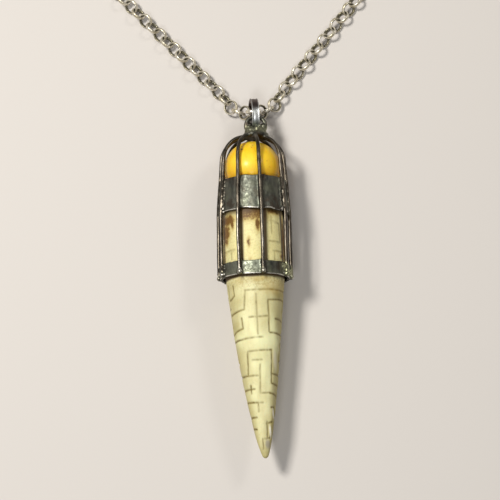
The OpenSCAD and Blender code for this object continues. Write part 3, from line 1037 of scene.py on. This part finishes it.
def boneMarks(down, turn, across, soft, wobble, inCage, sideways):
    # the marks that the finish reads, from 0 to about 1
    front, side = np.cos(turn), np.sin(turn)
    facing = ramp(0, 0.2, front)
    tan = ramp(3.6, 1.3, down + upperFrom + 0.7 * soft) * ramp(45, 15, np.abs(fromAngle(np.degrees(turn))))
    tint, pale = (sum(facing * spotOn(across + 0.3 * wobble, down + 0.3 * wobble, place) for place in chart)
                  for chart in (olives, pales))
    mouth = ramp(0.6, 0.1, down + 0.2 * soft) * ramp(-1.6, -0.5, down)
    underside = 0.85 * ramp(1.3, 0.1, down + upperFrom + 0.4 * soft)
    corner = facing * spotOn(across, down, shadyCorner, 2)
    # painted shade on the flanks, stronger on the right and less in the cage, with olive tints and a darker
    # tip added
    limbShadeAndTint = ramp(0.45, 1.0, np.abs(side)) * (0.67 + 0.11 * side) * (1 - 0.95 * inCage)
    limbShadeAndTint = limbShadeAndTint + tint + 0.1 * ramp(12, 26, down)
    tip = 0.75 * ramp(4.5, 0.5, spikeLength - down)
    mouthSpecks = (0.5 + 0.28 * side) * ramp(3.2, 0.8, down + soft) * (1 - inCage)
    return {
        "stain": np.maximum(boneStains(down, across, front, wobble), 0.68 * tan),
        "shade": np.maximum.reduce([mouth, underside, besideWires(down, turn, inCage, sideways), corner]),
        "chip": np.maximum.reduce([facing * spotOn(across, down, place, 2) for place in chips]),
        "dull": facing * spotOn(across, down, dullPatch, 2), "pale": np.clip(pale, 0, 0.8),
        # the root paler inside the cage, with painted light stronger on the right
        "rootPaleAndLit": inCage * (1 + 0.3 * side), "freckle": 0.16 * inCage + 0.34 * tan + mouthSpecks,
        "limbShadeAndTint": np.clip(np.maximum(limbShadeAndTint, tip), 0, 1),
    }


def bonePoints(down, turn, radius, sideways):
    # the grid bowed and leaning, then the middles of the tip and the root
    lean, along = math.radians(bone["lean"]), down + bone["pivot"]
    x = radius * np.sin(turn) + bone["bow"] * np.sin(np.clip(down / spikeLength, 0, 1) * math.pi)
    points = np.stack([axisX / mm + x * math.cos(lean) + sideways,
                       footY / mm + bone["pivot"] - along * math.cos(lean) + x * math.sin(lean),
                       axisZ / mm + radius * np.cos(turn)], -1) * mm
    tip, head = points[-1].mean(0), points[0].mean(0)
    tip[1] = footY - (spikeLength * 0.9995 + bone["pivot"]) * mm * math.cos(lean) + bone["pivot"] * mm
    return list(points.reshape(-1, 3)) + [tip, head]


def boneFaces(rows, columns):
    # rows of quads with a fan at the tip and one at the root
    faces, last = [], (rows - 1) * columns
    for row in range(rows - 1):
        here, below = row * columns, (row + 1) * columns
        for column in range(columns):
            after = (column + 1) % columns
            faces.append((here + column, below + column, below + after, here + after))
    for column in range(columns):
        after = (column + 1) % columns
        faces += [(last + column, rows * columns, last + after), (rows * columns + 1, column, after)]
    return faces


def makeBone():
    down, turn = boneGrid()
    soft, wobble = boneWaves(down, turn)
    inCage = ramp(1.5, -0.5, down)
    lean = (down + bone["pivot"]) * math.sin(math.radians(bone["lean"]))
    sideways = lean * (1 - (1 - bone["rootLean"]) * inCage)  # the root leans less than the spike
    plain = plainRadius(down, turn, soft, inCage)
    groove = boneGrooves(down, turn, soft, wobble, inCage)
    cut = bone["grooveDepth"] * groove * (1 - 0.5 * inCage) * ramp(0, 4, spikeLength - down)
    mesh = meshFrom(bonePoints(down, turn, plain - cut, sideways), boneFaces(*down.shape), "bone")
    marks = boneMarks(down, turn, plain * np.sin(turn), soft, wobble, inCage, sideways)
    for name, values in {"groove": groove, **marks}.items():
        storeValues(mesh, name, np.append(values.ravel(), [0, 0]))
    faceOutward(mesh)
    piece = finishPiece(mesh, boneFinish, "boneSpike")
    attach(piece, "root")
    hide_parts("bone_spike")
    print("bone carved:", len(mesh.polygons), "faces")


makeBone()

# floor, lights and camera

floorFinish = newFinish("paleFloor", {"Roughness": 0.8, "Base Color": (0.6, 0.57, 0.54, 1)})[0]
floorMesh = meshFrom([(-3, -3, 0), (3, -3, 0), (3, 3, 0), (-3, 3, 0)], [(0, 1, 2, 3)], "floor")
floorMesh.materials.append(floorFinish)
floor = newPiece(floorMesh, "floor")

world = bpy.data.worlds.new("studio")
bpy.context.scene.world = world
bpy.context.scene.view_settings.view_transform = "Standard"
world.use_nodes = True
sky = world.node_tree.nodes["Background"].inputs
sky["Color"].default_value = (1.0, 0.98, 0.94, 1)
sky["Strength"].default_value = 0.2

# place, size, power and colour of each lamp; all of them point at one place
lampAim = Vector((0.0, -0.075, 0.005))
lamps = {
    "keyLamp": ((-0.2, 0.03, 0.42), 0.09, 2.05, (1.0, 0.965, 0.91)),
    "farLamp": ((0.27, 0.14, 0.38), 0.1, 0.38, (1.0, 0.97, 0.92)),
    "nearLamp": ((-0.05, -0.31, 0.45), 0.12, 0.55, (0.97, 0.98, 1.0)),
}


def makeLamps():
    for name, (place, size, power, colour) in lamps.items():
        light = bpy.data.lights.new(name, "AREA")
        light.size, light.energy, light.color = size, power, colour
        lamp = newPiece(light, name)
        lamp.location = place
        lamp.rotation_euler = (lampAim - Vector(place)).to_track_quat("-Z", "Y").to_euler()


# the camera looks at a point given in millimetres from the axis and the foot
view = {"elevation": 78.0, "distance": 0.40, "width": 0.1013, "roll": -1.25,
        "aimX": -0.905, "aimY": 6.214, "sensor": 36}


def makeCamera():
    lens = bpy.data.cameras.new("camera")
    camera = newPiece(lens, "camera")
    rise, roll = math.radians(view["elevation"]), math.radians(view["roll"])
    back = Vector((0, -math.cos(rise), math.sin(rise)))
    right = (-back).cross(Vector((0, 0, 1))).normalized()
    up = right.cross(-back)
    across = math.cos(roll) * right + math.sin(roll) * up
    above = -math.sin(roll) * right + math.cos(roll) * up
    place = Matrix((across, above, back)).transposed().to_4x4()
    aim = Vector((axisX + view["aimX"] * mm, footY + view["aimY"] * mm, axisZ))
    place.translation = aim + back * view["distance"]
    camera.matrix_world = place
    lens.sensor_width = view["sensor"]
    lens.lens = view["sensor"] * view["distance"] / view["width"]
    bpy.context.scene.camera = camera


makeLamps()
makeCamera()
print("floor, lamps and camera ready")
